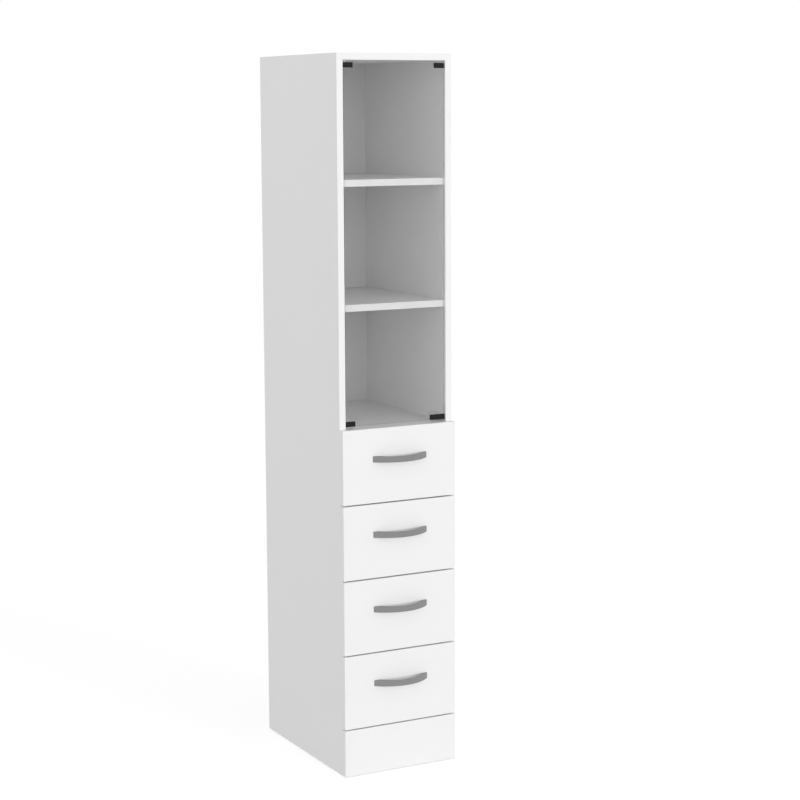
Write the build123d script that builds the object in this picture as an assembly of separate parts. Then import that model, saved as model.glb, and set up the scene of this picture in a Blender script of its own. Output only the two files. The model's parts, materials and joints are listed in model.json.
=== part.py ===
"""Bathroom storage tower: a glazed cupboard over four drawers, on a plinth.

Working frame: X = 0 is the middle of the width, Y = 0 the front edges of the
carcass boards, Z = 0 the floor. The front faces -Y. The nodes are written with
the origin moved to the middle of the overall depth. Sizes are in millimetres.
"""

import os

from build123d import *

# ---------------------------------------------------------------- carcass
width = 300.0
height = 1710.0
carcass_depth = 425.0
board = 16.0  # coated chipboard of the carcass
edge_round = 0.5  # banded edges
plinth_height = 115.0
plinth_board = 16.0
glide_radius = 6.5
glide_height = 2.0
glide_inset = 22.0  # from the ends of the plinth's side boards
lower_clear_height = 275.5  # clear height under the lower shelf
middle_clear_height = 274.0  # clear height between the shelves
shelf_board = 16.0
shelf_setback = 9.5
shelf_side_gap = 0.5
shelf_back_gap = 1.5
back_thickness = 3.0
back_inset = 10.0  # from the rear edges to the back panel's rear face
groove_depth = 6.0
groove_play = 0.1

# shelf pins
pin_radius = 2.5
pin_in_wall = 8.0
pin_stand_out = 9.0
pin_from_front = 45.0
pin_from_back = 60.0
hole_play = 0.05
spare = 1.0  # how far a cutter runs past a surface

# cam fittings that pull the three fixed boards to the side panels
cam_radius = 7.4
cam_height = 12.0
cam_from_end = 34.0
cam_bore_reach = 5.0
cam_slot_length = 10.0
cam_slot_width = 1.4
cam_slot_depth = 1.5
bolt_tip_gap = 0.5
cam_row_front = 74.0
cam_row_back = 355.0
bolt_radius = 3.4
bolt_thread_radius = 2.45
bolt_in_wall = 11.5
bolt_bore_play = 0.1

# wall brackets
bracket_offset = 60.0  # each side of the middle
bracket_width = 20.0
bracket_leg = 28.0
bracket_metal = 2.0
wall_hole_radius = 2.75
wall_hole_drop = 16.0  # below the top panel
back_hole_radius = 4.0
bracket_screw_radius = 2.0
bracket_screw_depth = 11.0
bracket_screw_head_radius = 3.8
bracket_screw_head = 2.2

# ---------------------------------------------------------------- drawers
drawer_count = 4
front_height = 178.0
front_board = 16.0
front_gap = 3.0
front_standoff = 0.6  # air gap behind the closed fronts
box_board = 12.0
box_height = 110.0
box_rear_clearance = 12.0  # from the box to the back panel
box_rise = 20.0  # from the front's lower edge to the box
box_back_height = 87.0
base_thickness = 3.0
base_rise = 10.0
base_groove = 5.0

# bow handles
handle_chord = 144.0
handle_reach = 30.0
handle_metal = 4.5
handle_height = 14.5
handle_drop = 73.0  # from the front's top edge to the handle's middle
handle_pad = 15.0
handle_round = 0.7
screw_spacing = 128.0
screw_radius = 2.0
screw_in_handle = 4.8
screw_hole_radius = 2.5
screw_head_radius = 4.2
screw_head = 2.6
screw_head_round = 1.0

# roller runners, measured inwards from the side panel
runner_space = 12.7
runner_metal = 1.2
runner_setback = 2.0
channel_width = 9.5
channel_play = 0.15
roller_radius = 8.0
roller_width = 6.6
roller_round = 0.5
roller_end_play = 0.4
axle_radius = 2.0
axle_play = 0.06
axle_head_radius = 3.2
axle_head = 0.8
front_axle_from_end = 12.0
rear_axle_from_end = 12.0
front_roller_lift = 1.8
rail_play = 0.1
rail_side_gap = 0.1  # between the drawer's side and its rail
roof_gap = 1.0  # from the front roller to the channel's roof
front_roller_offset = 0.8  # from the channel's web
rear_roller_offset = 1.0  # from the rail's web
rail_flange = 11.5
channel_rise = 12.0  # channel's middle above the drawer box's lower edge

# ---------------------------------------------------------------- glass door
glass_thickness = 4.0
clip_wall = 1.2
clip_web = 1.0
clip_height = 12.0
hinge_clip_width = 25.0
corner_clip_width = 26.0
strike_width = 39.0
clip_recess = 0.2
clip_round = 1.5
glass_play = 0.05
hinge_side_gap = 1.2
free_side_gap = 2.2
door_bottom_gap = 5.6
door_top_gap = 5.6
notch_width = 9.0
notch_height = 7.0
pivot_from_side = 5.5
pivot_pin_radius = 1.5
pivot_play = 0.06
pivot_engagement = 6.0
pivot_bore_spare = 0.5  # bore depth past the pin's tip
pivot_plate_length = 20.0
pivot_plate_depth = 11.0
pivot_plate_metal = 1.5
pivot_plate_setback = 1.2
pivot_plate_side_gap = 1.0

# push latch on the side panel, behind the strike plate
latch_width = 14.0
latch_height = 12.0
latch_round = 2.0
latch_length = 50.0
latch_setback = 11.0
latch_end_wall = 5.0
peg_radius = 2.45
peg_length = 8.0
peg_from_end = 9.0
plunger_radius = 3.5
plunger_play = 0.08
plunger_length = 24.0
plunger_gap = 0.3
plunger_travel = 2.5
plunger_chamfer = 0.6
spring_radius = 2.4
spring_wire = 0.35
spring_turns = 8

# ---------------------------------------------------------------- worked out
half_width = width / 2
half_inside = half_width - board
top_under = height - board
plinth_front_y = -front_standoff - plinth_board
front_face_y = -front_standoff - front_board
front_pitch = front_height + front_gap
fronts_top = plinth_height + drawer_count * front_pitch
fixed_top = fronts_top  # level with the top drawer front's upper edge
shelf_lower_z = fixed_top + lower_clear_height
shelf_upper_z = shelf_lower_z + shelf_board + middle_clear_height
bottom_top = plinth_height + board
back_front_y = carcass_depth - back_inset - back_thickness
box_length = back_front_y - box_rear_clearance  # from the front's rear face
runner_length = box_length
overall_front = front_face_y - handle_reach
middle_depth = (overall_front + carcass_depth) / 2
to_origin = Pos(0, -middle_depth, 0)


def span(x0, x1, y0, y1, z0, z1):
    """A box between two corners."""
    place = Pos((x0 + x1) / 2, (y0 + y1) / 2, (z0 + z1) / 2)
    return place * Box(abs(x1 - x0), abs(y1 - y0), abs(z1 - z0))


def softened(shape, radius=edge_round):
    """The board with all its edges eased."""
    return fillet(shape.edges(), radius)


def rod_x(x0, x1, y, z, radius):
    """A round bar along X."""
    return Pos((x0 + x1) / 2, y, z) * Rot(0, 90, 0) * Cylinder(radius, abs(x1 - x0))


def rod_y(y0, y1, x, z, radius):
    """A round bar along Y."""
    return Pos(x, (y0 + y1) / 2, z) * Rot(90, 0, 0) * Cylinder(radius, abs(y1 - y0))


def rod_z(z0, z1, x, y, radius):
    """A round bar along Z."""
    return Pos(x, y, (z0 + z1) / 2) * Cylinder(radius, abs(z1 - z0))


def write(name, *solids):
    """Write one node, moved to the part's origin."""
    moved = [to_origin * solid for solid in solids]
    whole = moved[0] if len(moved) == 1 else Compound(children=moved)
    export_step(whole, f"parts/{name}.step")


# ---------------------------------------------------------------- cam fittings
fixed_board_undersides = [top_under, fixed_top - board, plinth_height]
cam_rows = [cam_row_front, cam_row_back]


def cam_bores(side, under):
    """Bores for one board's end: cam pockets, bolt bores and wall holes."""
    bores = []
    for y in cam_rows:
        cam_x = side * (half_inside - cam_from_end)
        bolt_z = under + board / 2
        pocket = cam_radius + hole_play
        bore = bolt_radius + bolt_bore_play
        bores.append(rod_z(under - spare, under + cam_height + hole_play, cam_x, y, pocket))
        bores.append(rod_x(cam_x, side * half_inside, y, bolt_z, bore))
    return bores


def wall_bores(side, under):
    """Threaded holes for the bolts in the side panel."""
    x0 = side * (half_inside - spare)
    x1 = side * (half_inside + bolt_in_wall + hole_play)
    radius = bolt_thread_radius + hole_play
    return [rod_x(x0, x1, y, under + board / 2, radius) for y in cam_rows]


def cam_fitting(side, under, y):
    """One cam and its bolt."""
    cam_x = side * (half_inside - cam_from_end)
    bolt_z = under + board / 2
    bolt_start = cam_x + side * (cam_radius - cam_bore_reach + bolt_tip_gap)
    cam = rod_z(under, under + cam_height, cam_x, y, cam_radius)
    bore_start = cam_x + side * (cam_radius - cam_bore_reach)
    bore_end = cam_x + side * (cam_radius + spare)
    cam -= rod_x(bore_start, bore_end, y, bolt_z, bolt_radius + bolt_bore_play)
    half_length = cam_slot_length / 2
    half_slot = cam_slot_width / 2
    cam -= span(
        cam_x - half_length,
        cam_x + half_length,
        y - half_slot,
        y + half_slot,
        under - spare,
        under + cam_slot_depth,
    )
    bolt = rod_x(bolt_start, side * half_inside, y, bolt_z, bolt_radius)
    wall_end = side * (half_inside + bolt_in_wall)
    bolt += rod_x(side * half_inside, wall_end, y, bolt_z, bolt_thread_radius)
    return [cam, bolt]


cam_fittings = []
for under in fixed_board_undersides:
    for side in (-1, 1):
        for y in cam_rows:
            cam_fittings += cam_fitting(side, under, y)

# ---------------------------------------------------------------- door layout
pivot_x = -half_inside + pivot_from_side
clip_depth = glass_thickness + 2 * clip_wall
pivot_y = clip_recess + clip_depth / 2
clip_left = -half_inside + hinge_side_gap
clip_right = half_inside - free_side_gap
clip_low = fixed_top + door_bottom_gap
clip_high = top_under - door_top_gap
latch_x = half_inside - latch_width / 2
latch_z = clip_low + clip_height / 2
latch_back_y = latch_setback + latch_length
peg_rows = [latch_setback + peg_from_end, latch_back_y - peg_from_end]


def pivot_plate_box(level, grow):
    """The pivot plate's outline, from level down; grow makes it a pocket."""
    x0 = -half_inside + pivot_plate_side_gap
    return span(
        x0 - grow,
        x0 + pivot_plate_length + grow,
        pivot_plate_setback - grow,
        pivot_plate_setback + pivot_plate_depth + grow,
        level - pivot_plate_metal,
        level + grow,
    )


def latch_pegs(grow):
    """The pegs that hold the latch to the side panel; grow makes their holes."""
    x1 = half_inside + peg_length + grow
    return [rod_x(half_inside - spare, x1, y, latch_z, peg_radius + grow) for y in peg_rows]


# ---------------------------------------------------------------- side panels
shelf_undersides = [shelf_lower_z, shelf_upper_z]
pin_rows = [pin_from_front, back_front_y - pin_from_back]


def side_panel(side):
    """One side panel with its back groove and all its bores."""
    x_in = side * half_inside
    panel = softened(span(x_in, side * half_width, 0, carcass_depth, plinth_height, height))
    groove_x = x_in + side * groove_depth
    panel -= span(
        x_in - side * spare,
        groove_x,
        back_front_y - groove_play,
        back_front_y + back_thickness + groove_play,
        plinth_height - spare,
        height + spare,
    )
    cuts = []
    for under in fixed_board_undersides:
        cuts += wall_bores(side, under)
    for z in shelf_undersides:
        for y in pin_rows:
            hole_end = x_in + side * (pin_in_wall + hole_play)
            start = x_in - side * spare
            cuts.append(rod_x(start, hole_end, y, z - pin_radius, pin_radius + hole_play))
    if side > 0:
        cuts += latch_pegs(hole_play)
    return panel - cuts


def back_groove(z0, z1):
    """The groove that takes the back panel's top or bottom edge."""
    y0 = back_front_y - groove_play
    y1 = back_front_y + back_thickness + groove_play
    return span(-half_inside - spare, half_inside + spare, y0, y1, z0, z1)


def carcass_board(depth, under):
    """A board between the side panels, bored for its cam fittings."""
    panel = softened(span(-half_inside, half_inside, 0, depth, under, under + board))
    return panel - (cam_bores(-1, under) + cam_bores(1, under))


def pivot_plate(level, upwards):
    """A hinge plate let into its board flush with level, with the pivot pin."""
    plate = pivot_plate_box(level, 0)
    if not upwards:
        plate = Pos(0, 0, pivot_plate_metal) * plate
    gap = door_bottom_gap if upwards else door_top_gap
    reach = gap + pivot_engagement
    tip = level + reach if upwards else level - reach
    return plate + rod_z(level, tip, pivot_x, pivot_y, pivot_pin_radius)


def wall_bracket(x):
    """An angle bracket under the top panel, against the back panel."""
    x0 = x - bracket_width / 2
    x1 = x + bracket_width / 2
    y_back = back_front_y
    flat = span(x0, x1, y_back - bracket_leg, y_back, top_under - bracket_metal, top_under)
    upright = span(x0, x1, y_back - bracket_metal, y_back, top_under - bracket_leg, top_under)
    angle = flat + upright
    hole_z = top_under - wall_hole_drop
    front = y_back - bracket_metal - spare
    angle -= rod_y(front, y_back + spare, x, hole_z, wall_hole_radius)
    screw_y = y_back - bracket_leg / 2
    radius = bracket_screw_radius + hole_play
    low = top_under - bracket_metal - spare
    angle -= rod_z(low, top_under + spare, x, screw_y, radius)
    return angle


def bracket_screw(x):
    """The screw that holds a wall bracket to the top panel."""
    y = back_front_y - bracket_leg / 2
    seat = top_under - bracket_metal
    head = rod_z(seat - bracket_screw_head, seat, x, y, bracket_screw_head_radius)
    return head + rod_z(seat, top_under + bracket_screw_depth, x, y, bracket_screw_radius)


bracket_places = [-bracket_offset, bracket_offset]

top_panel = carcass_board(carcass_depth, top_under)
top_panel -= back_groove(top_under - spare, top_under + groove_depth)
top_panel -= Pos(0, 0, pivot_plate_metal) * pivot_plate_box(top_under, groove_play)
top_panel -= [
    rod_z(
        top_under - spare,
        top_under + bracket_screw_depth + hole_play,
        x,
        back_front_y - bracket_leg / 2,
        bracket_screw_radius + hole_play,
    )
    for x in bracket_places
]

fixed_panel = carcass_board(back_front_y, fixed_top - board)
fixed_panel -= pivot_plate_box(fixed_top, groove_play)

bottom_panel = carcass_board(carcass_depth, plinth_height)
bottom_panel -= back_groove(bottom_top - groove_depth, bottom_top + spare)

back_edge = groove_depth - groove_play
back_panel = span(
    -half_inside - back_edge,
    half_inside + back_edge,
    back_front_y,
    back_front_y + back_thickness,
    bottom_top - back_edge,
    top_under + back_edge,
)
back_panel -= [
    rod_y(
        back_front_y - spare,
        carcass_depth,
        x,
        top_under - wall_hole_drop,
        back_hole_radius,
    )
    for x in bracket_places
]


def shelf(under):
    """A loose shelf."""
    half = half_inside - shelf_side_gap
    depth_end = back_front_y - shelf_back_gap
    return softened(span(-half, half, shelf_setback, depth_end, under, under + shelf_board))


shelf_pins = [
    rod_x(
        side * (half_inside + pin_in_wall),
        side * (half_inside - pin_stand_out),
        y,
        under - pin_radius,
        pin_radius,
    )
    for under in shelf_undersides
    for side in (-1, 1)
    for y in pin_rows
]

# ---------------------------------------------------------------- plinth
plinth_front = softened(
    span(-half_width, half_width, plinth_front_y, -front_standoff, glide_height, plinth_height)
)
plinth_back_y = carcass_depth - plinth_board
plinth_inside = half_width - plinth_board
plinth_frame = [
    span(
        side * plinth_inside,
        side * half_width,
        -front_standoff,
        carcass_depth,
        glide_height,
        plinth_height,
    )
    for side in (-1, 1)
]
plinth_frame.append(
    span(
        -plinth_inside,
        plinth_inside,
        plinth_back_y,
        carcass_depth,
        glide_height,
        plinth_height,
    )
)
floor_glides = [
    rod_z(0, glide_height, side * (half_width - plinth_board / 2), y, glide_radius)
    for side in (-1, 1)
    for y in (glide_inset, carcass_depth - glide_inset)
]

# ---------------------------------------------------------------- glass door


def glass_plate(grow=0.0):
    """The pane, with a notch at each pivot; grow makes the slot around it."""
    x0 = clip_left + clip_web
    x1 = clip_right - clip_web
    z0 = clip_low + clip_web
    z1 = clip_high - clip_web
    half = glass_thickness / 2 + grow
    pane = span(x0 - grow, x1 + grow, pivot_y - half, pivot_y + half, z0 - grow, z1 + grow)
    notch_x = x0 + notch_width - grow
    low_notch = z0 + notch_height - grow
    high_notch = z1 - notch_height + grow
    front = pivot_y - half - spare
    back = pivot_y + half + spare
    past = grow + spare
    pane -= span(x0 - past, notch_x, front, back, z0 - past, low_notch)
    pane -= span(x0 - past, notch_x, front, back, high_notch, z1 + past)
    return pane


def clip_block(x0, x1, z0):
    """A clip's outer block, its upright edges rounded."""
    block = span(x0, x1, clip_recess, clip_recess + clip_depth, z0, z0 + clip_height)
    return fillet(block.edges().filter_by(Axis.Z), clip_round)


def hinge_clamp(z0, pin_from, pin_to):
    """A pivot clamp over a notched corner of the pane."""
    block = clip_block(clip_left, clip_left + hinge_clip_width, z0)
    block -= glass_plate(glass_play)
    return block - rod_z(pin_from, pin_to, pivot_x, pivot_y, pivot_pin_radius + pivot_play)


glass_door = glass_plate()
bore_depth = pivot_engagement + pivot_bore_spare
clamp_upper_z = clip_high - clip_height
hinge_clamps = [
    hinge_clamp(clip_low, clip_low - spare, clip_low + bore_depth),
    hinge_clamp(clamp_upper_z, clip_high - bore_depth, clip_high + spare),
]
corner_clip = clip_block(clip_right - corner_clip_width, clip_right, clamp_upper_z)
corner_clip -= glass_plate(glass_play)
strike_plate = clip_block(clip_right - strike_width, clip_right, clip_low)
strike_plate -= glass_plate(glass_play)
hinge_pivots = [pivot_plate(fixed_top, True), pivot_plate(top_under, False)]

# ---------------------------------------------------------------- push latch
plunger_tip_y = clip_recess + clip_depth + plunger_gap
plunger_end_y = plunger_tip_y + plunger_length
chamber_end_y = latch_back_y - latch_end_wall

latch_housing = span(
    half_inside - latch_width,
    half_inside,
    latch_setback,
    latch_back_y,
    latch_z - latch_height / 2,
    latch_z + latch_height / 2,
)
latch_housing = fillet(latch_housing.edges().filter_by(Axis.Y).sort_by(Axis.X)[:2], latch_round)
latch_housing -= rod_y(
    latch_setback - spare, chamber_end_y, latch_x, latch_z, plunger_radius + plunger_play
)
latch_housing += latch_pegs(0)

latch_plunger = rod_y(plunger_tip_y, plunger_end_y, latch_x, latch_z, plunger_radius)
latch_plunger = chamfer(latch_plunger.edges().sort_by(Axis.Y)[0], plunger_chamfer)

spring_room = chamber_end_y - plunger_end_y - plunger_travel - 2 * spring_wire
spring_length = spring_room - 2 * spring_wire
spring_path = Helix(spring_length / spring_turns, spring_length, spring_radius)
spring_section = Plane(origin=spring_path @ 0, z_dir=spring_path % 0) * Circle(spring_wire)
latch_spring = sweep(spring_section, path=spring_path, is_frenet=True)
latch_spring = (
    Pos(latch_x, plunger_end_y + spring_wire + hole_play, latch_z)
    * Rot(-90, 0, 0)
    * latch_spring
)

# ---------------------------------------------------------------- runners


def across(side, u0, u1, y0, y1, z0, z1):
    """A box placed by its distances from the side panel's inner face."""
    x0 = side * (half_inside - u0)
    x1 = side * (half_inside - u1)
    return span(x0, x1, y0, y1, z0, z1)


def axle(side, u_root, u_tip, y, z):
    """A riveted axle stub with its head at the free end."""
    step = 1 if u_tip > u_root else -1
    root = side * (half_inside - u_root)
    tip = side * (half_inside - u_tip)
    neck = side * (half_inside - (u_tip - step * axle_head))
    return rod_x(root, tip, y, z, axle_radius) + rod_x(neck, tip, y, z, axle_head_radius)


def roller(side, u0, y, z):
    """A nylon roller with its bore."""
    x0 = side * (half_inside - u0)
    x1 = side * (half_inside - u0 - roller_width)
    wheel = fillet(rod_x(x0, x1, y, z, roller_radius).edges(), roller_round)
    past = side * spare
    return wheel - rod_x(x0 + past, x1 - past, y, z, axle_radius + axle_play)


channel_half = roller_radius + channel_play
front_axle_y = runner_setback + front_axle_from_end
rear_axle_y = runner_length - rear_axle_from_end
rail_web = runner_space - rail_side_gap - runner_metal
front_roller_u = runner_metal + front_roller_offset
front_axle_tip = front_roller_u + roller_width + roller_end_play + axle_head
rear_roller_u = rail_web - rear_roller_offset - roller_width
rear_axle_tip = rear_roller_u - roller_end_play - axle_head


def cabinet_runner(side, middle):
    """The channel on the side panel, with the front roller's axle."""
    y0 = runner_setback
    y1 = runner_setback + runner_length
    low = middle - channel_half
    high = middle + channel_half
    web = across(side, 0, runner_metal, y0, y1, low - runner_metal, high + runner_metal)
    floor = across(side, 0, channel_width, y0, y1, low - runner_metal, low)
    roof_y = front_axle_y + roller_radius + roof_gap
    roof = across(side, 0, channel_width, roof_y, y1, high, high + runner_metal)
    stub_z = middle + front_roller_lift
    stub = axle(side, runner_metal / 2, front_axle_tip, front_axle_y, stub_z)
    return web + floor + roof + stub


def drawer_rail(side, low, middle):
    """The rail under the drawer side, with the rear roller's axle."""
    y0 = 0
    y1 = runner_length
    flange_z = middle + front_roller_lift + roller_radius + rail_play
    web_end = rail_web + runner_metal
    web = across(side, rail_web, web_end, y0, y1, low - runner_metal, flange_z + runner_metal)
    foot = across(side, rail_web, rail_web + rail_flange, y0, y1, low - runner_metal, low)
    top_start = front_roller_u
    running = across(side, top_start, web_end, y0, y1, flange_z, flange_z + runner_metal)
    stub = axle(side, rail_web + runner_metal / 2, rear_axle_tip, rear_axle_y, middle)
    return web + foot + running + stub


# ---------------------------------------------------------------- drawers
base_half = half_inside - runner_space - box_board + base_groove - groove_play
box_outer = half_inside - runner_space
box_inner = box_outer - box_board
box_back_y = box_length - front_standoff
screw_places = [-screw_spacing / 2, screw_spacing / 2]


def drawer_front(low):
    """A drawer front with its handle holes and the groove for the base."""
    y0, y1 = front_face_y, -front_standoff
    panel = softened(span(-half_width, half_width, y0, y1, low, low + front_height))
    handle_z = low + front_height - handle_drop
    holes = [
        rod_y(y0 - spare, y1 + spare, x, handle_z, screw_hole_radius) for x in screw_places
    ]
    base_z = low + box_rise + base_rise
    groove = span(
        -base_half - groove_play,
        base_half + groove_play,
        y1 - base_groove,
        y1 + spare,
        base_z - groove_play,
        base_z + base_thickness + groove_play,
    )
    return panel - holes - groove


def box_side(side, low):
    """One side board of a drawer box, grooved for the base."""
    z0 = low + box_rise
    y0 = -front_standoff
    panel = softened(
        span(side * box_inner, side * box_outer, y0, box_back_y, z0, z0 + box_height)
    )
    base_z = z0 + base_rise
    return panel - span(
        side * (box_inner - spare),
        side * (box_inner + base_groove),
        y0 - spare,
        box_back_y + spare,
        base_z - groove_play,
        base_z + base_thickness + groove_play,
    )


def box_back(low):
    """The back board of a drawer box, standing on the base."""
    z0 = low + box_rise + base_rise + base_thickness
    y0 = box_back_y - box_board
    return span(-box_inner, box_inner, y0, box_back_y, z0, z0 + box_back_height)


def box_base(low):
    """The thin base of a drawer box."""
    z0 = low + box_rise + base_rise
    y0 = -front_standoff - base_groove + groove_play
    return span(-base_half, base_half, y0, box_back_y, z0, z0 + base_thickness)


def arc_radius(half_chord, rise):
    """The radius of an arc with this half chord and rise."""
    return (half_chord**2 + rise**2) / (2 * rise)


def bow_handle(low):
    """A bow handle: an arched strap that thickens into a foot at each end."""
    outer_radius = arc_radius(handle_chord / 2, handle_reach)
    inner_rise = handle_reach - handle_metal
    inner_radius = arc_radius(handle_chord / 2 - handle_pad, inner_rise)
    middle_z = low + front_height - handle_drop
    low_z = middle_z - handle_height / 2
    high_z = middle_z + handle_height / 2
    bow = rod_z(low_z, high_z, 0, front_face_y - handle_reach + outer_radius, outer_radius)
    bow &= span(
        -handle_chord,
        handle_chord,
        front_face_y - handle_reach - spare,
        front_face_y,
        low_z - spare,
        high_z + spare,
    )
    bow = fillet(bow.edges().filter_by(GeomType.CIRCLE), handle_round)
    void_y = front_face_y - inner_rise + inner_radius
    bow -= rod_z(low_z - spare, high_z + spare, 0, void_y, inner_radius)
    inner_edges = bow.edges().filter_by(GeomType.CIRCLE).filter_by(
        lambda edge: abs(edge.radius - inner_radius) < handle_round
    )
    bow = fillet(inner_edges, handle_round)
    return bow - [
        rod_y(
            front_face_y - screw_in_handle - hole_play,
            front_face_y + spare,
            x,
            middle_z,
            screw_radius + hole_play,
        )
        for x in screw_places
    ]


def handle_screw(x, low):
    """A pan-head screw from inside the drawer into the handle's pad."""
    z = low + front_height - handle_drop
    seat = -front_standoff
    head = rod_y(seat, seat + screw_head, x, z, screw_head_radius)
    head = fillet(head.edges().sort_by(Axis.Y)[-1], screw_head_round)
    return head + rod_y(seat, front_face_y - screw_in_handle, x, z, screw_radius)


# ---------------------------------------------------------------- write nodes
os.makedirs("parts", exist_ok=True)

write("side_panel_left", side_panel(-1))
write("side_panel_right", side_panel(1))
write("top_panel", top_panel)
write("fixed_panel", fixed_panel)
write("bottom_panel", bottom_panel)
write("back_panel", back_panel)
write("shelf_lower", shelf(shelf_lower_z))
write("shelf_upper", shelf(shelf_upper_z))
write("shelf_pins", *shelf_pins)
write("cam_fittings", *cam_fittings)
write("wall_brackets", *[wall_bracket(x) for x in bracket_places])
write("bracket_screws", *[bracket_screw(x) for x in bracket_places])
write("plinth_front", plinth_front)
write("plinth_frame", *plinth_frame)
write("floor_glides", *floor_glides)
write("glass_door", glass_door)
write("hinge_clamps", *hinge_clamps)
write("hinge_pivots", *hinge_pivots)
write("corner_clip", corner_clip)
write("strike_plate", strike_plate)
write("latch_housing", latch_housing)
write("latch_plunger", latch_plunger)
write("latch_spring", latch_spring)

cabinet_runners = []
for number in range(1, drawer_count + 1):
    low = plinth_height + front_gap + (drawer_count - number) * front_pitch
    box_low = low + box_rise
    middle = box_low + channel_rise
    front_roller_z = middle + front_roller_lift
    cabinet_runners += [cabinet_runner(side, middle) for side in (-1, 1)]
    rails = [drawer_rail(side, box_low, middle) for side in (-1, 1)]
    front_pair = [roller(s, front_roller_u, front_axle_y, front_roller_z) for s in (-1, 1)]
    rear_pair = [roller(s, rear_roller_u, rear_axle_y, middle) for s in (-1, 1)]
    write(f"drawer_{number}_front", drawer_front(low))
    write(f"drawer_{number}_sides", box_side(-1, low), box_side(1, low))
    write(f"drawer_{number}_back", box_back(low))
    write(f"drawer_{number}_base", box_base(low))
    write(f"drawer_{number}_handle", bow_handle(low))
    write(f"drawer_{number}_screws", *[handle_screw(x, low) for x in screw_places])
    write(f"drawer_{number}_rails", *rails)
    write(f"drawer_{number}_rear_rollers", *rear_pair)
    write(f"drawer_{number}_front_rollers", *front_pair)
write("cabinet_runners", *cabinet_runners)
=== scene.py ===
"""The bathroom storage tower, dressed and lit.

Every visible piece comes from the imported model. This script gives each one its
finish and sets up the studio.
All lengths are in metres, in the model's frame: front faces -Y, floor at Z = 0.
"""

import json
import math

import bpy
from mathutils import Matrix, Vector

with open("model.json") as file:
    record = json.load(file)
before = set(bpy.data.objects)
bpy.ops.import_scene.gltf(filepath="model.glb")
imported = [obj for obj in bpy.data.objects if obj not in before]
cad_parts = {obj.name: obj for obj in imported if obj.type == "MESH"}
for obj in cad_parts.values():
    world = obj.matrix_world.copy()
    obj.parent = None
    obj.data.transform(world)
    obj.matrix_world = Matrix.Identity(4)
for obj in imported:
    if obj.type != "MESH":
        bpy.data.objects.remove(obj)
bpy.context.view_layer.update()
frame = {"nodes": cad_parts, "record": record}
nodes = frame["nodes"]

DRAWERS = (1, 2, 3, 4)

# ---------------------------------------------------------------- node tools

EVEN = (1.0, 1.0, 1.0)  # no stretch
SQUARE_START = 0.6  # the normal's share along an axis where a face begins to count as square
SQUARE_END = 0.8  # and where it counts fully


def fill(node, values):
    """Set a node's inputs by name, with _ for each space."""
    for socket, value in values.items():
        node.inputs[socket.replace("_", " ")].default_value = value


def add(tree, kind, **values):
    """Add a node with these inputs."""
    made = tree.nodes.new(kind)
    fill(made, values)
    return made


def calculate(tree, operation, *terms):
    """A Math node's value over one or two sockets."""
    made = add(tree, "ShaderNodeMath")
    made.operation = operation
    for socket, term in zip(made.inputs, terms):
        tree.links.new(term, socket)
    return made.outputs["Value"]


def map_range(tree, value, low, high, start=0.0, end=1.0, curve="LINEAR"):
    """A value from start..end mapped onto low..high."""
    made = add(
        tree, "ShaderNodeMapRange", From_Min=start, From_Max=end, To_Min=low, To_Max=high
    )
    made.interpolation_type = curve
    tree.links.new(value, made.inputs["Value"])
    return made.outputs["Result"]


def any_ray(tree, first, *others):
    """1 on rays of any of these kinds, 0 on all others."""
    path = add(tree, "ShaderNodeLightPath")
    total = path.outputs[first]
    for kind in others:
        total = calculate(tree, "MAXIMUM", total, path.outputs[kind])
    return total


def shade(level, warm=0.0):
    """A near-grey colour; warm tints it slightly."""
    return (level * (1 + warm), level, level * (1 - warm))


def opaque(colour):
    """The colour as a colour socket takes it."""
    return (*colour, 1.0)


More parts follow.
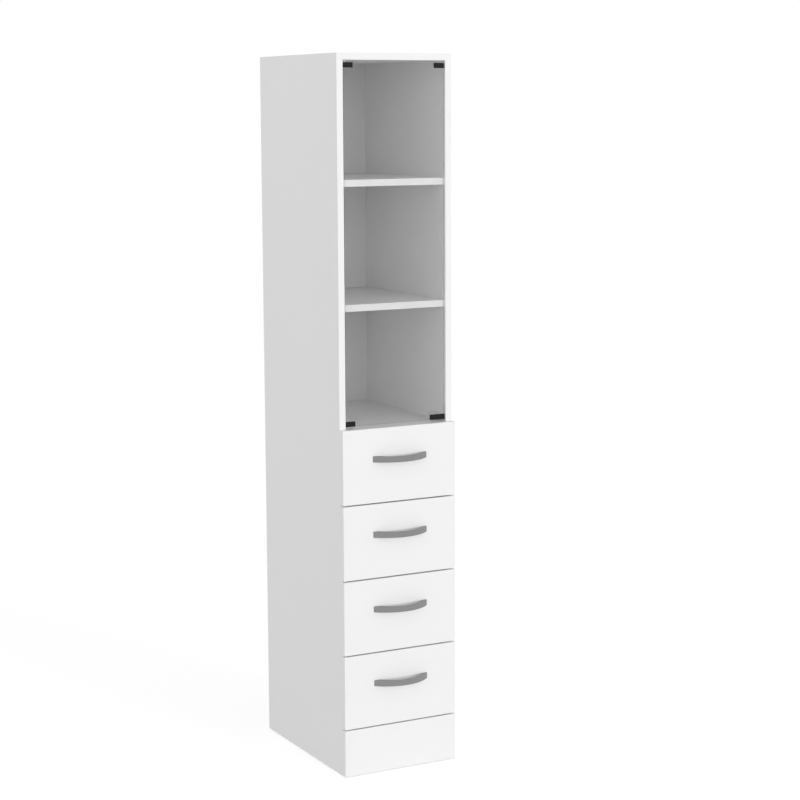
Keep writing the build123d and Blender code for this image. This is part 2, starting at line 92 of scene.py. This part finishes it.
class Shader:
    """A material with one Principled BSDF and helpers for its node tree."""

    def __init__(self, name, **values):
        self.material = bpy.data.materials.new(name)
        self.material.use_nodes = True
        self.tree = self.material.node_tree
        self.surface = self.tree.nodes["Principled BSDF"]
        self.output = self.tree.nodes["Material Output"]
        fill(self.surface, values)

    def link(self, source, target):
        """Link two sockets."""
        self.tree.links.new(source, target)

    def noise(self, scale, detail, roughness=0.5, stretch=EVEN):
        """A noise value in object space, stretched per axis."""
        coords = add(self.tree, "ShaderNodeTexCoord")
        mapping = add(self.tree, "ShaderNodeMapping", Scale=stretch)
        made = add(
            self.tree, "ShaderNodeTexNoise", Scale=scale, Detail=detail, Roughness=roughness
        )
        self.link(coords.outputs["Object"], mapping.inputs["Vector"])
        self.link(mapping.outputs["Vector"], made.inputs["Vector"])
        return made.outputs["Fac"]

    def span(self, value, low, high, start=0.0, end=1.0):
        """A value from start..end mapped onto low..high."""
        return map_range(self.tree, value, low, high, start, end)

    def across(self, axis):
        """1 on the faces that are square to an axis, 0 on the others."""
        coords = add(self.tree, "ShaderNodeTexCoord")
        split = add(self.tree, "ShaderNodeSeparateXYZ")
        self.link(coords.outputs["Normal"], split.inputs["Vector"])
        size = calculate(self.tree, "ABSOLUTE", split.outputs[axis])
        return self.span(size, low=0.0, high=1.0, start=SQUARE_START, end=SQUARE_END)

    def pick(self, value, first, second):
        """The first value where value is 0, the second where it is 1."""
        made = add(self.tree, "ShaderNodeMix")
        self.link(value, made.inputs["Factor"])
        self.link(first, made.inputs["A"])
        self.link(second, made.inputs["B"])
        return made.outputs["Result"]

    def colour(self, value, first, second):
        """Drive the base colour between two colours, by value."""
        made = add(self.tree, "ShaderNodeMix")
        made.data_type = "RGBA"
        made.inputs["A"].default_value = opaque(first)
        made.inputs["B"].default_value = opaque(second)
        self.link(value, made.inputs["Factor"])
        self.link(made.outputs["Result"], self.surface.inputs["Base Color"])

    def roughness(self, value):
        """Drive the roughness."""
        self.link(value, self.surface.inputs["Roughness"])

    def bump(self, height, depth, strength):
        """Bump on the surface: height is a 0..1 value, depth is in metres."""
        made = add(self.tree, "ShaderNodeBump", Strength=strength, Distance=depth)
        self.link(height, made.inputs["Height"])
        self.link(made.outputs["Normal"], self.surface.inputs["Normal"])


def dress(material, *names):
    """Give whole nodes one material."""
    for name in names:
        for slot in nodes[name].material_slots:
            slot.material = material


# ---------------------------------------------------------------- finishes

BOARD_DRIFT = 0.006  # how far a white board's level drifts either way
FOIL_DARKER = 0.02
FOIL_LIGHTER = 0.01
METAL_TONES = (0.94, 1.05)  # the darkest and lightest shares of each level
ENAMEL_TONES = (0.97, 1.02)
PLASTIC_TONES = (0.98, 1.01)

GLASS_IOR = 1.2  # below real glass, so that the pane mirrors little of the white studio
GLASS_TINT = 0.915  # what the pane lets through to the eye
GLASS_FACE = 0.92  # what each of its faces lets through to light the inside
GLASS_EDGE = (0.30, 0.36, 0.34)  # the long way through the pane, seen at its ground edges


def coated_board(name, level, thin):
    """White melamine board, thin along one axis.

    Its two faces have a very fine pearl texture. Its banded edges are smoother.
    """
    made = Shader(name)
    clouds = made.noise(scale=7.0, detail=3.0)
    made.colour(clouds, shade(level - BOARD_DRIFT), shade(level + BOARD_DRIFT))
    pearl = made.noise(scale=1700.0, detail=3.0, roughness=0.6)
    streaks = made.noise(scale=25.0, detail=2.0)
    band = made.span(streaks, low=0.30, high=0.36)
    face = made.span(pearl, low=0.38, high=0.48)
    made.roughness(made.pick(made.across(thin), band, face))
    made.bump(pearl, depth=0.000008, strength=0.4)
    return made.material


def hardboard(name, level):
    """Lacquered hardboard: smoother, with faint pressed fibres."""
    made = Shader(name)
    clouds = made.noise(scale=9.0, detail=3.0)
    made.colour(clouds, shade(level - BOARD_DRIFT), shade(level + BOARD_DRIFT))
    fibres = made.noise(scale=1300.0, detail=3.0, roughness=0.6, stretch=(1.0, 1.0, 0.4))
    made.roughness(made.span(fibres, low=0.32, high=0.46))
    made.bump(fibres, depth=0.00001, strength=0.4)
    return made.material


def foil_board(name, level, stretch):
    """Foil-wrapped drawer board: a faint grain along the axis that stretch shortens."""
    made = Shader(name)
    grain = made.noise(scale=90.0, detail=5.0, roughness=0.65, stretch=stretch)
    made.colour(grain, shade(level - FOIL_DARKER), shade(level + FOIL_LIGHTER))
    made.roughness(made.span(grain, low=0.44, high=0.58))
    made.bump(grain, depth=0.00008, strength=0.4)
    return made.material


def brushed_metal(name, level, rough, stretch=EVEN, scale=320.0):
    """Metal with fine brush lines along the axis that stretch shortens.

    Without a stretch it is mottled instead, as plating is.
    """
    made = Shader(name, Metallic=1.0)
    lines = made.noise(scale=scale, detail=4.0, roughness=0.7, stretch=stretch)
    made.colour(lines, *(shade(level * share) for share in METAL_TONES))
    made.roughness(made.span(lines, *rough))
    made.bump(lines, depth=0.00003, strength=0.5)
    return made.material


def enamel(name, level, rough=(0.30, 0.45), gloss=0.5):
    """Powder-coated sheet metal with a fine orange peel."""
    made = Shader(name, Specular_IOR_Level=gloss)
    peel = made.noise(scale=900.0, detail=2.0)
    tone = made.noise(scale=40.0, detail=2.0)
    made.colour(tone, *(shade(level * share) for share in ENAMEL_TONES))
    made.roughness(made.span(peel, *rough))
    made.bump(peel, depth=0.00005, strength=0.5)
    return made.material


def plastic(name, level, warm=0.0):
    """Moulded plastic with a spark-eroded texture."""
    made = Shader(name)
    grain = made.noise(scale=2400.0, detail=3.0)
    tone = made.noise(scale=60.0, detail=2.0)
    made.colour(tone, *(shade(level * share, warm) for share in PLASTIC_TONES))
    made.roughness(made.span(grain, low=0.42, high=0.58))
    made.bump(grain, depth=0.00004, strength=0.5)
    return made.material


def door_glass(name):
    """Clear float glass, faintly grey, with darker ground edges.

    Light that reaches the boards inside passes it without caustics.
    """
    made = Shader(name, IOR=GLASS_IOR, Transmission_Weight=1.0)
    face = made.across("Y")
    made.colour(face, GLASS_EDGE, shade(GLASS_TINT))
    smear = made.noise(scale=14.0, detail=4.0, roughness=0.6)
    polished = made.span(smear, low=0.0, high=0.02, start=0.45, end=0.8)
    grinding = made.noise(scale=2000.0, detail=2.0)
    ground = made.span(grinding, low=0.30, high=0.45)
    made.roughness(made.pick(face, ground, polished))
    clear = add(made.tree, "ShaderNodeBsdfTransparent", Color=opaque(shade(GLASS_FACE)))
    mix = add(made.tree, "ShaderNodeMixShader")
    lighting = any_ray(made.tree, "Is Shadow Ray", "Is Diffuse Ray")
    made.link(lighting, mix.inputs["Fac"])
    made.link(made.surface.outputs["BSDF"], mix.inputs[1])
    made.link(clear.outputs["BSDF"], mix.inputs[2])
    made.link(mix.outputs["Shader"], made.output.inputs["Surface"])
    return made.material


board_whites = {
    axis: coated_board("board_white_" + axis.lower(), level=0.92, thin=axis) for axis in "XYZ"
}
back_white = hardboard("back_white", level=0.90)
box_white = foil_board("box_white", level=0.84, stretch=(6.0, 0.35, 6.0))
box_back_white = foil_board("box_back_white", level=0.84, stretch=(0.35, 6.0, 6.0))
handle_grey = brushed_metal(
    "handle_grey", level=0.285, rough=(0.34, 0.46), stretch=(0.12, 1.0, 1.0)
)
clip_black = enamel("clip_black", level=0.012, rough=(0.45, 0.60), gloss=0.2)
nickel = brushed_metal("nickel", level=0.62, rough=(0.18, 0.30), stretch=(1.0, 1.0, 0.2))
zinc = brushed_metal("zinc", level=0.58, rough=(0.28, 0.45), scale=150.0)
runner_white = enamel("runner_white", level=0.84)
nylon = plastic("nylon", level=0.82, warm=0.01)
latch_grey = plastic("latch_grey", level=0.80)
glide_plastic = plastic("glide_plastic", level=0.78)
pin_white = plastic("pin_white", level=0.86)
spring_wire = brushed_metal(
    "spring_wire", level=0.5, rough=(0.2, 0.3), stretch=(1.0, 0.3, 1.0)
)
glass = door_glass("glass")

finishes = {
    "white_board": board_whites["Y"],
    "white_hardboard": back_white,
    "box_board": box_white,
    "door_glass": glass,
    "black_metal": clip_black,
    "handle_metal": handle_grey,
    "nickel_steel": nickel,
    "zinc": zinc,
    "runner_enamel": runner_white,
    "roller_nylon": nylon,
    "latch_plastic": latch_grey,
    "glide_plastic": glide_plastic,
    "spring_steel": spring_wire,
    "pin_plastic": pin_white,
}
for part in frame["record"]["subparts"]:
    dress(finishes[part["material_slot"]], part["node"])
dress(board_whites["X"], "side_panel_left", "side_panel_right", "plinth_frame")
dress(board_whites["Z"], "top_panel", "fixed_panel", "bottom_panel", "shelf_lower", "shelf_upper")
dress(box_back_white, *(f"drawer_{number}_back" for number in DRAWERS))

# ---------------------------------------------------------------- studio

SEEN_RAYS = ("Is Camera Ray", "Is Glossy Ray", "Is Transmission Ray")

FLOOR_SIZE = 40.0
FLOOR_ALBEDO = 0.80
FLOOR_ROUGHNESS = 0.9
FLOOR_GLOW = 0.505  # added on the seen rays alone, so that the floor reads white

SKY_HORIZON = 1.27
SKY_ZENITH = 0.5
SKY_GLOW_TOP = 0.7  # sine of the height where the horizon's glow ends
SKY_FRONT = 1.2  # the sky before the cabinet against the sky beside it
SKY_REAR = 0.8
SKY_SEEN = 1.0  # the plain white that the seen rays meet

KEY_LEVEL = 0.74
KEY_WIDTH = math.radians(10.0)
KEY_RISE = math.radians(5.0)  # its middle over the horizon
KEY_TURN = math.radians(16.0)  # to the right of straight in front

CAMERA_PLACE = Vector((-2.1806, -4.3035, 1.5822))
CAMERA_TURN = math.radians(28.036)  # to the right of +Y
CAMERA_TILT = math.radians(-7.992)  # downwards
CAMERA_ROLL = math.radians(-0.268)
CAMERA_LENS = 89.47  # in millimetres, as the sensor
CAMERA_SENSOR = 36.0
CAMERA_SHIFT = -0.015
CAMERA_REACH = 200.0


def make_floor():
    """A pale floor that reads white and keeps the object's shadow."""
    mesh = bpy.data.meshes.new("floor")
    half = FLOOR_SIZE / 2
    corners = [(-half, -half, 0), (half, -half, 0), (half, half, 0), (-half, half, 0)]
    mesh.from_pydata(corners, [], [(0, 1, 2, 3)])
    floor = bpy.data.objects.new("floor", mesh)
    bpy.context.scene.collection.objects.link(floor)
    paint = Shader(
        "floor_paint",
        Base_Color=opaque(shade(FLOOR_ALBEDO)),
        Roughness=FLOOR_ROUGHNESS,
        Specular_IOR_Level=0.0,
    )
    glow = add(paint.tree, "ShaderNodeEmission")
    seen = any_ray(paint.tree, *SEEN_RAYS)
    paint.link(paint.span(seen, low=0.0, high=FLOOR_GLOW), glow.inputs["Strength"])
    both = add(paint.tree, "ShaderNodeAddShader")
    paint.link(paint.surface.outputs["BSDF"], both.inputs[0])
    paint.link(glow.outputs["Emission"], both.inputs[1])
    paint.link(both.outputs["Shader"], paint.output.inputs["Surface"])
    mesh.materials.append(paint.material)


def make_world():
    """A sky brightest near the horizon and in front. It is seen as plain white."""
    world = bpy.data.worlds.new("studio")
    bpy.context.scene.world = world
    world.use_nodes = True
    tree = world.node_tree
    background = tree.nodes["Background"]
    background.inputs["Color"].default_value = opaque(shade(1.0))
    coords = add(tree, "ShaderNodeTexCoord")
    split = add(tree, "ShaderNodeSeparateXYZ")
    tree.links.new(coords.outputs["Generated"], split.inputs["Vector"])
    rise = map_range(
        tree,
        split.outputs["Z"],
        low=SKY_HORIZON,
        high=SKY_ZENITH,
        end=SKY_GLOW_TOP,
        curve="SMOOTHSTEP",
    )
    depth = map_range(tree, split.outputs["Y"], low=SKY_FRONT, high=SKY_REAR, start=-1.0)
    level = add(tree, "ShaderNodeMix", B=SKY_SEEN)
    tree.links.new(any_ray(tree, *SEEN_RAYS), level.inputs["Factor"])
    tree.links.new(calculate(tree, "MULTIPLY", rise, depth), level.inputs["A"])
    tree.links.new(level.outputs["Result"], background.inputs["Strength"])


def make_key():
    """A wide distant light in front, low over the floor. Nothing glossy reflects it."""
    data = bpy.data.lights.new("key", "SUN")
    data.energy = KEY_LEVEL
    data.angle = KEY_WIDTH
    lamp = bpy.data.objects.new("key", data)
    bpy.context.scene.collection.objects.link(lamp)
    lamp.visible_glossy = False
    lamp.rotation_euler = (math.pi / 2 - KEY_RISE, 0.0, KEY_TURN)


def make_camera():
    """The camera: in front, to the left, a little below the top."""
    data = bpy.data.cameras.new("camera")
    data.lens = CAMERA_LENS
    data.sensor_width = CAMERA_SENSOR
    data.shift_y = CAMERA_SHIFT
    data.clip_end = CAMERA_REACH
    camera = bpy.data.objects.new("camera", data)
    bpy.context.scene.collection.objects.link(camera)
    turn = Matrix.Rotation(-CAMERA_TURN, 4, "Z")
    tilt = Matrix.Rotation(math.pi / 2 + CAMERA_TILT, 4, "X")
    roll = Matrix.Rotation(CAMERA_ROLL, 4, "Z")
    camera.matrix_world = Matrix.Translation(CAMERA_PLACE) @ turn @ tilt @ roll
    bpy.context.scene.camera = camera


make_floor()
make_world()
make_key()
make_camera()
bpy.context.scene.view_settings.view_transform = "Standard"
